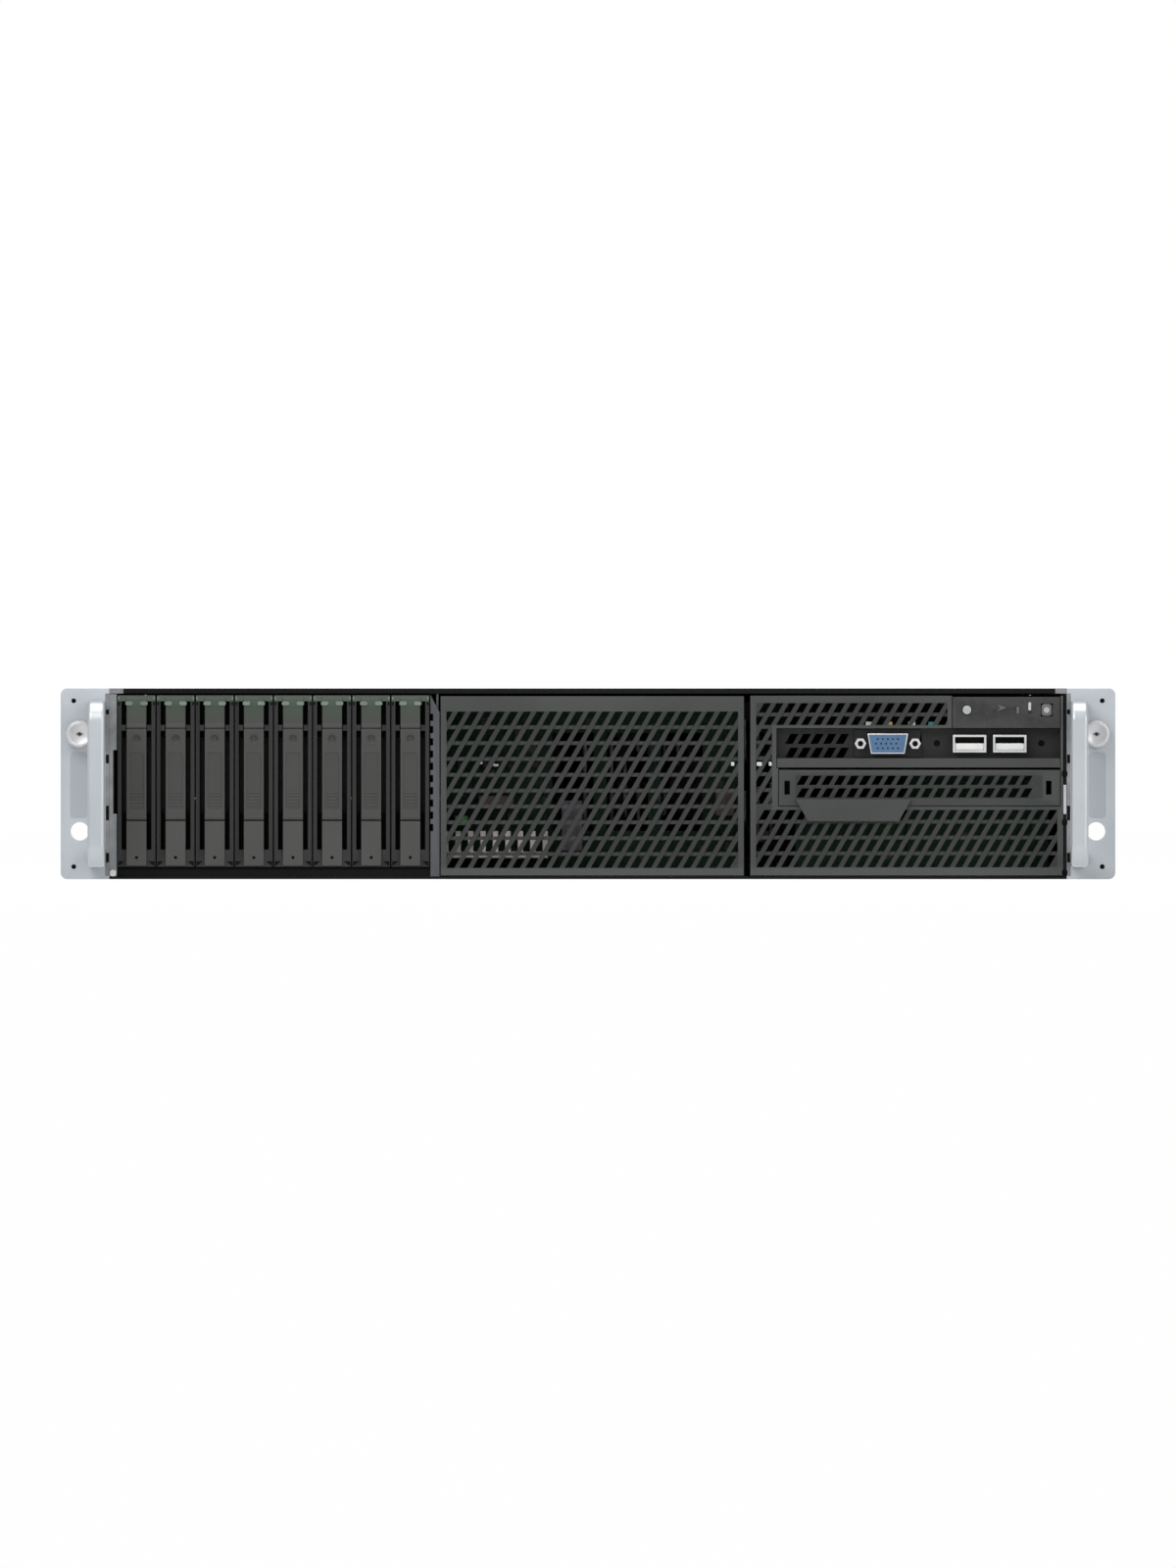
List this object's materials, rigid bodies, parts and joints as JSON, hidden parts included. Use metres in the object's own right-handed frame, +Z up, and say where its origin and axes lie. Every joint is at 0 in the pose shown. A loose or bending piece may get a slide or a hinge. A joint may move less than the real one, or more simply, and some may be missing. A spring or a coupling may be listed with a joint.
{
  "type": "rack server",
  "caption": "Two-unit 19-inch rack server: silver rack ears with pull handles, upright drive carriers with levers, slanted mesh panels, front ports, redundant power supplies.",
  "frame": {"origin": "centre of the part's box in X and Y, on the plane of its underside", "axes": "+X to the right seen from the front, +Y to the rear, +Z up"},
  "size_m": [0.4826, 0.773, 0.0873],
  "materials": {
    "chassis_steel": "zinc-plated sheet steel",
    "black_lip": "satin black paint on sheet steel",
    "ear_silver": "satin silver-gray paint",
    "handle_silver": "satin anodised die-cast",
    "screw_nickel": "nickel plated, knurled",
    "bay_black": "satin dark gray paint",
    "carrier_plastic": "dark gray moulded plastic",
    "lever_plastic": "gray moulded plastic, fine texture",
    "button_green": "dark green tinted moulded plastic",
    "panel_gray": "satin dark gray paint",
    "port_blue": "blue moulded insulator in a nickel shell",
    "port_pale": "bright nickel shell",
    "key_pale": "pale gray translucent plastic",
    "board_green": "green solder mask on laminate",
    "fan_black": "black glass-filled plastic",
    "sink_aluminium": "bare extruded aluminium",
    "duct_black": "thin vacuum-formed black plastic",
    "supply_steel": "zinc-plated sheet steel",
    "latch_green": "green moulded plastic"
  },
  "bodies": {
    "chassis": {"chassis_pan": "chassis_steel", "drive_bay_cover": "black_lip", "rack_ear_left": "ear_silver", "rack_ear_right": "ear_silver", "handle_left": "handle_silver", "handle_right": "handle_silver", "drive_cage": "bay_black", "drive_backplane": "board_green", "center_bay_grille": "panel_gray", "right_bay_grille": "panel_gray", "front_io_panel": "bay_black", "control_panel": "panel_gray", "vga_port": "port_blue", "usb_ports": "port_pale", "fan_frames": "fan_black", "motherboard": "board_green", "memory_modules": "board_green", "processor_heatsinks": "sink_aluminium", "air_duct": "duct_black", "riser_cages": "chassis_steel", "rear_ports": "port_pale", "power_board": "board_green"},
    "drive_carrier_1": {"drive_carrier_1": "carrier_plastic"},
    "drive_carrier_2": {"drive_carrier_2": "carrier_plastic"},
    "drive_carrier_3": {"drive_carrier_3": "carrier_plastic"},
    "drive_carrier_4": {"drive_carrier_4": "carrier_plastic"},
    "drive_carrier_5": {"drive_carrier_5": "carrier_plastic"},
    "drive_carrier_6": {"drive_carrier_6": "carrier_plastic"},
    "drive_carrier_7": {"drive_carrier_7": "carrier_plastic"},
    "drive_carrier_8": {"drive_carrier_8": "carrier_plastic"},
    "carrier_lever_1": {"carrier_lever_1": "lever_plastic"},
    "carrier_lever_2": {"carrier_lever_2": "lever_plastic"},
    "carrier_lever_3": {"carrier_lever_3": "lever_plastic"},
    "carrier_lever_4": {"carrier_lever_4": "lever_plastic"},
    "carrier_lever_5": {"carrier_lever_5": "lever_plastic"},
    "carrier_lever_6": {"carrier_lever_6": "lever_plastic"},
    "carrier_lever_7": {"carrier_lever_7": "lever_plastic"},
    "carrier_lever_8": {"carrier_lever_8": "lever_plastic"},
    "release_button_1": {"release_button_1": "button_green"},
    "release_button_2": {"release_button_2": "button_green"},
    "release_button_3": {"release_button_3": "button_green"},
    "release_button_4": {"release_button_4": "button_green"},
    "release_button_5": {"release_button_5": "button_green"},
    "release_button_6": {"release_button_6": "button_green"},
    "release_button_7": {"release_button_7": "button_green"},
    "release_button_8": {"release_button_8": "button_green"},
    "fan_rotor_1": {"fan_rotor_1": "fan_black"},
    "fan_rotor_2": {"fan_rotor_2": "fan_black"},
    "fan_rotor_3": {"fan_rotor_3": "fan_black"},
    "fan_rotor_4": {"fan_rotor_4": "fan_black"},
    "system_cover": {"system_cover": "chassis_steel"},
    "thumb_screw_left": {"thumb_screw_left": "screw_nickel"},
    "thumb_screw_right": {"thumb_screw_right": "screw_nickel"},
    "power_button": {"power_button": "key_pale"},
    "id_button": {"id_button": "key_pale"},
    "optical_bay_filler": {"optical_bay_filler": "panel_gray"},
    "power_supply_1": {"power_supply_1": "supply_steel"},
    "power_supply_2": {"power_supply_2": "supply_steel"},
    "psu_latch_1": {"psu_latch_1": "latch_green"},
    "psu_latch_2": {"psu_latch_2": "latch_green"}
  },
  "joints": [
    {"name": "carrier_1_slide", "type": "slide", "parent": "chassis", "child": "drive_carrier_1", "axis": [0, -1, 0], "range_m": [0, 0.12]},
    {"name": "lever_1_hinge", "type": "hinge", "parent": "drive_carrier_1", "child": "carrier_lever_1", "pos_m": [-0.2066, -0.3505, 0.0285], "axis": [1, 0, 0], "range_deg": [0, 60]},
    {"name": "button_1_press", "type": "slide", "parent": "drive_carrier_1", "child": "release_button_1", "axis": [0, 1, 0], "range_m": [0, 0.0012], "stiffness_N_per_m": 900, "springref_m": -0.001},
    {"name": "carrier_2_slide", "type": "slide", "parent": "chassis", "child": "drive_carrier_2", "axis": [0, -1, 0], "range_m": [0, 0.12]},
    {"name": "lever_2_hinge", "type": "hinge", "parent": "drive_carrier_2", "child": "carrier_lever_2", "pos_m": [-0.1887, -0.3505, 0.0285], "axis": [1, 0, 0], "range_deg": [0, 60]},
    {"name": "button_2_press", "type": "slide", "parent": "drive_carrier_2", "child": "release_button_2", "axis": [0, 1, 0], "range_m": [0, 0.0012], "stiffness_N_per_m": 900, "springref_m": -0.001},
    {"name": "carrier_3_slide", "type": "slide", "parent": "chassis", "child": "drive_carrier_3", "axis": [0, -1, 0], "range_m": [0, 0.12]},
    {"name": "lever_3_hinge", "type": "hinge", "parent": "drive_carrier_3", "child": "carrier_lever_3", "pos_m": [-0.1708, -0.3505, 0.0285], "axis": [1, 0, 0], "range_deg": [0, 60]},
    {"name": "button_3_press", "type": "slide", "parent": "drive_carrier_3", "child": "release_button_3", "axis": [0, 1, 0], "range_m": [0, 0.0012], "stiffness_N_per_m": 900, "springref_m": -0.001},
    {"name": "carrier_4_slide", "type": "slide", "parent": "chassis", "child": "drive_carrier_4", "axis": [0, -1, 0], "range_m": [0, 0.12]},
    {"name": "lever_4_hinge", "type": "hinge", "parent": "drive_carrier_4", "child": "carrier_lever_4", "pos_m": [-0.1529, -0.3505, 0.0285], "axis": [1, 0, 0], "range_deg": [0, 60]},
    {"name": "button_4_press", "type": "slide", "parent": "drive_carrier_4", "child": "release_button_4", "axis": [0, 1, 0], "range_m": [0, 0.0012], "stiffness_N_per_m": 900, "springref_m": -0.001},
    {"name": "carrier_5_slide", "type": "slide", "parent": "chassis", "child": "drive_carrier_5", "axis": [0, -1, 0], "range_m": [0, 0.12]},
    {"name": "lever_5_hinge", "type": "hinge", "parent": "drive_carrier_5", "child": "carrier_lever_5", "pos_m": [-0.135, -0.3505, 0.0285], "axis": [1, 0, 0], "range_deg": [0, 60]},
    {"name": "button_5_press", "type": "slide", "parent": "drive_carrier_5", "child": "release_button_5", "axis": [0, 1, 0], "range_m": [0, 0.0012], "stiffness_N_per_m": 900, "springref_m": -0.001},
    {"name": "carrier_6_slide", "type": "slide", "parent": "chassis", "child": "drive_carrier_6", "axis": [0, -1, 0], "range_m": [0, 0.12]},
    {"name": "lever_6_hinge", "type": "hinge", "parent": "drive_carrier_6", "child": "carrier_lever_6", "pos_m": [-0.1171, -0.3505, 0.0285], "axis": [1, 0, 0], "range_deg": [0, 60]},
    {"name": "button_6_press", "type": "slide", "parent": "drive_carrier_6", "child": "release_button_6", "axis": [0, 1, 0], "range_m": [0, 0.0012], "stiffness_N_per_m": 900, "springref_m": -0.001},
    {"name": "carrier_7_slide", "type": "slide", "parent": "chassis", "child": "drive_carrier_7", "axis": [0, -1, 0], "range_m": [0, 0.12]},
    {"name": "lever_7_hinge", "type": "hinge", "parent": "drive_carrier_7", "child": "carrier_lever_7", "pos_m": [-0.0992, -0.3505, 0.0285], "axis": [1, 0, 0], "range_deg": [0, 60]},
    {"name": "button_7_press", "type": "slide", "parent": "drive_carrier_7", "child": "release_button_7", "axis": [0, 1, 0], "range_m": [0, 0.0012], "stiffness_N_per_m": 900, "springref_m": -0.001},
    {"name": "carrier_8_slide", "type": "slide", "parent": "chassis", "child": "drive_carrier_8", "axis": [0, -1, 0], "range_m": [0, 0.12]},
    {"name": "lever_8_hinge", "type": "hinge", "parent": "drive_carrier_8", "child": "carrier_lever_8", "pos_m": [-0.0813, -0.3505, 0.0285], "axis": [1, 0, 0], "range_deg": [0, 60]},
    {"name": "button_8_press", "type": "slide", "parent": "drive_carrier_8", "child": "release_button_8", "axis": [0, 1, 0], "range_m": [0, 0.0012], "stiffness_N_per_m": 900, "springref_m": -0.001},
    {"name": "cover_slide", "type": "slide", "parent": "chassis", "child": "system_cover", "axis": [0, 1, 0], "range_m": [0, 0.013]},
    {"name": "screw_left_turn", "type": "hinge", "parent": "chassis", "child": "thumb_screw_left", "pos_m": [-0.23255, -0.3505, 0.06635], "axis": [0, -1, 0], "continuous": true},
    {"name": "screw_right_turn", "type": "hinge", "parent": "chassis", "child": "thumb_screw_right", "pos_m": [0.23255, -0.3505, 0.06635], "axis": [0, -1, 0], "continuous": true},
    {"name": "power_press", "type": "slide", "parent": "chassis", "child": "power_button", "axis": [0, 1, 0], "range_m": [0, 0.001], "stiffness_N_per_m": 1200, "springref_m": -0.0005},
    {"name": "id_press", "type": "slide", "parent": "chassis", "child": "id_button", "axis": [0, 1, 0], "range_m": [0, 0.001], "stiffness_N_per_m": 1200, "springref_m": -0.0005},
    {"name": "filler_slide", "type": "slide", "parent": "chassis", "child": "optical_bay_filler", "axis": [0, -1, 0], "range_m": [0, 0.08]},
    {"name": "fan_1_spin", "type": "hinge", "parent": "chassis", "child": "fan_rotor_1", "pos_m": [-0.159, -0.1595, 0.0414], "axis": [0, 1, 0], "continuous": true},
    {"name": "fan_2_spin", "type": "hinge", "parent": "chassis", "child": "fan_rotor_2", "pos_m": [-0.053, -0.1595, 0.0414], "axis": [0, 1, 0], "continuous": true},
    {"name": "fan_3_spin", "type": "hinge", "parent": "chassis", "child": "fan_rotor_3", "pos_m": [0.053, -0.1595, 0.0414], "axis": [0, 1, 0], "continuous": true},
    {"name": "fan_4_spin", "type": "hinge", "parent": "chassis", "child": "fan_rotor_4", "pos_m": [0.159, -0.1595, 0.0414], "axis": [0, 1, 0], "continuous": true},
    {"name": "supply_1_slide", "type": "slide", "parent": "chassis", "child": "power_supply_1", "axis": [0, 1, 0], "range_m": [0, 0.19]},
    {"name": "latch_1_flex", "type": "hinge", "parent": "power_supply_1", "child": "psu_latch_1", "pos_m": [0.2109, 0.363, 0.0218], "axis": [0, 0, 1], "range_deg": [0, 8], "stiffness_Nm_per_rad": 0.6, "springref_deg": -5.73},
    {"name": "supply_2_slide", "type": "slide", "parent": "chassis", "child": "power_supply_2", "axis": [0, 1, 0], "range_m": [0, 0.19]},
    {"name": "latch_2_flex", "type": "hinge", "parent": "power_supply_2", "child": "psu_latch_2", "pos_m": [0.2109, 0.363, 0.0632], "axis": [0, 0, 1], "range_deg": [0, 8], "stiffness_Nm_per_rad": 0.6, "springref_deg": -5.73}
  ]
}
